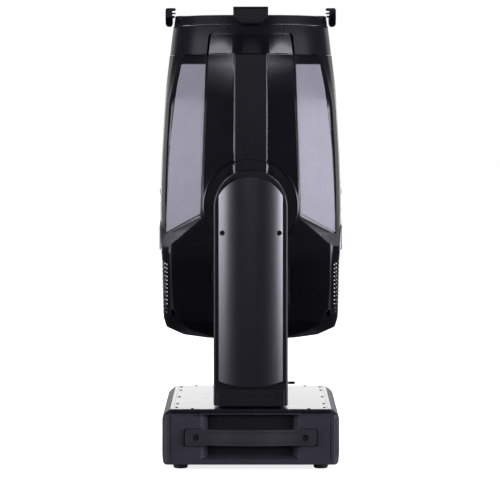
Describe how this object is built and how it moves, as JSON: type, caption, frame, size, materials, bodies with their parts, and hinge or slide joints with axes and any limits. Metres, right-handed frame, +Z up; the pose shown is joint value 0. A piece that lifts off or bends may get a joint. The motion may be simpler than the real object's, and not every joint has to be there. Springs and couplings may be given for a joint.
{
  "type": "moving head light",
  "caption": "Stage light whose tilting lamp head sits in a forked yoke that pans on a low base with strap handles and rubber feet.",
  "frame": {"origin": "on the pan axis, at the level the feet stand on", "axes": "+Z up along the pan axis, Y along the tilt axis and the length of the base, X across the base; the control panel faces -X"},
  "size_m": [0.3232, 0.4836, 0.796],
  "materials": {
    "satin_black": "satin",
    "gloss_black": "gloss",
    "painted_frame": "satin black coating",
    "rubber": "matte",
    "lens_glass": "clear",
    "steel": "machined",
    "bare_aluminium": "milled",
    "circuit": "satin",
    "dichroic": "coated",
    "socket_blue": "satin"
  },
  "bodies": {
    "base": {"base_chassis": "painted_frame", "base_top_plate": "gloss_black", "end_cover_front": "satin_black", "end_cover_back": "satin_black", "side_cover_connectors": "satin_black", "side_cover_display": "satin_black", "handle_front": "rubber", "handle_back": "rubber", "foot_front_left": "rubber", "foot_front_right": "rubber", "foot_back_left": "rubber", "foot_back_right": "rubber", "display_window": "gloss_black", "power_inlet": "socket_blue", "data_in": "painted_frame", "data_out": "painted_frame", "power_supply": "bare_aluminium", "control_board": "circuit", "pan_motor": "painted_frame", "pan_belt": "rubber", "pan_bearing": "steel"},
    "yoke": {"pan_hub": "steel", "yoke_crossbar": "painted_frame", "arm_frame_front": "painted_frame", "arm_frame_back": "painted_frame", "arm_cover_front": "painted_frame", "arm_cover_back": "painted_frame", "tilt_motor": "painted_frame", "tilt_belt": "rubber", "tilt_bearing_front": "steel", "tilt_bearing_back": "steel"},
    "head": {"front_ring": "gloss_black", "front_lens": "lens_glass", "accessory_clip_front": "satin_black", "accessory_clip_back": "satin_black", "accessory_clip_left": "satin_black", "accessory_clip_right": "satin_black", "head_shell_left": "satin_black", "head_shell_right": "satin_black", "yoke_side_cover_front": "satin_black", "yoke_side_cover_back": "satin_black", "rear_cap": "satin_black", "head_chassis": "painted_frame", "tilt_shaft_front": "steel", "tilt_shaft_back": "steel", "led_engine": "bare_aluminium", "heat_sink": "bare_aluminium"},
    "pan_pinion": {"pan_pinion": "steel"},
    "tilt_pinion": {"tilt_pinion": "steel"},
    "pan_lock": {"pan_lock": "satin_black"},
    "tilt_lock": {"tilt_lock": "satin_black"},
    "colour_wheel": {"colour_wheel": "dichroic"},
    "gobo_wheel": {"gobo_wheel": "steel"},
    "zoom_carriage": {"zoom_carriage": "lens_glass"},
    "focus_carriage": {"focus_carriage": "lens_glass"},
    "head_fan": {"head_fan": "satin_black"},
    "up_button": {"up_button": "rubber"},
    "down_button": {"down_button": "rubber"},
    "menu_button": {"menu_button": "rubber"},
    "enter_button": {"enter_button": "rubber"}
  },
  "joints": [
    {"name": "pan", "type": "hinge", "parent": "base", "child": "yoke", "pos_m": [0, 0, 0.1085], "axis": [0, 0, 1], "range_deg": [-270, 270]},
    {"name": "tilt", "type": "hinge", "parent": "yoke", "child": "head", "pos_m": [0, 0, 0.451], "axis": [0, 1, 0], "range_deg": [-130, 130]},
    {"name": "pan_pinion_spin", "type": "hinge", "parent": "base", "child": "pan_pinion", "pos_m": [0, 0.115, 0.056], "axis": [0, 0, 1], "range_deg": [-1620, 1620]},
    {"name": "tilt_pinion_spin", "type": "hinge", "parent": "yoke", "child": "tilt_pinion", "pos_m": [0, -0.184, 0.25], "axis": [0, 1, 0], "range_deg": [-520, 520]},
    {"name": "pan_lock_slide", "type": "slide", "parent": "yoke", "child": "pan_lock", "axis": [1, 0, 0], "range_m": [0, 0.005]},
    {"name": "tilt_lock_slide", "type": "slide", "parent": "yoke", "child": "tilt_lock", "axis": [0, 1, 0], "range_m": [0, 0.005]},
    {"name": "colour_wheel_spin", "type": "hinge", "parent": "head", "child": "colour_wheel", "pos_m": [0.036, 0, 0.4], "axis": [0, 0, 1], "continuous": true},
    {"name": "gobo_wheel_spin", "type": "hinge", "parent": "head", "child": "gobo_wheel", "pos_m": [-0.036, 0, 0.425], "axis": [0, 0, 1], "continuous": true},
    {"name": "zoom_slide", "type": "slide", "parent": "head", "child": "zoom_carriage", "axis": [0, 0, 1], "range_m": [-0.045, 0.035]},
    {"name": "focus_slide", "type": "slide", "parent": "head", "child": "focus_carriage", "axis": [0, 0, 1], "range_m": [-0.02, 0.03]},
    {"name": "head_fan_spin", "type": "hinge", "parent": "head", "child": "head_fan", "pos_m": [0, 0, 0.243], "axis": [0, 0, 1], "continuous": true},
    {"name": "up_button_press", "type": "slide", "parent": "base", "child": "up_button", "axis": [1, 0, 0], "range_m": [0, 0.0012], "stiffness_N_per_m": 400},
    {"name": "down_button_press", "type": "slide", "parent": "base", "child": "down_button", "axis": [1, 0, 0], "range_m": [0, 0.0012], "stiffness_N_per_m": 400},
    {"name": "menu_button_press", "type": "slide", "parent": "base", "child": "menu_button", "axis": [1, 0, 0], "range_m": [0, 0.0012], "stiffness_N_per_m": 400},
    {"name": "enter_button_press", "type": "slide", "parent": "base", "child": "enter_button", "axis": [1, 0, 0], "range_m": [0, 0.0012], "stiffness_N_per_m": 400}
  ],
  "couplings": [
    {"joint": "pan_pinion_spin", "follows": "pan", "ratio": 6},
    {"joint": "tilt_pinion_spin", "follows": "tilt", "ratio": 4}
  ]
}
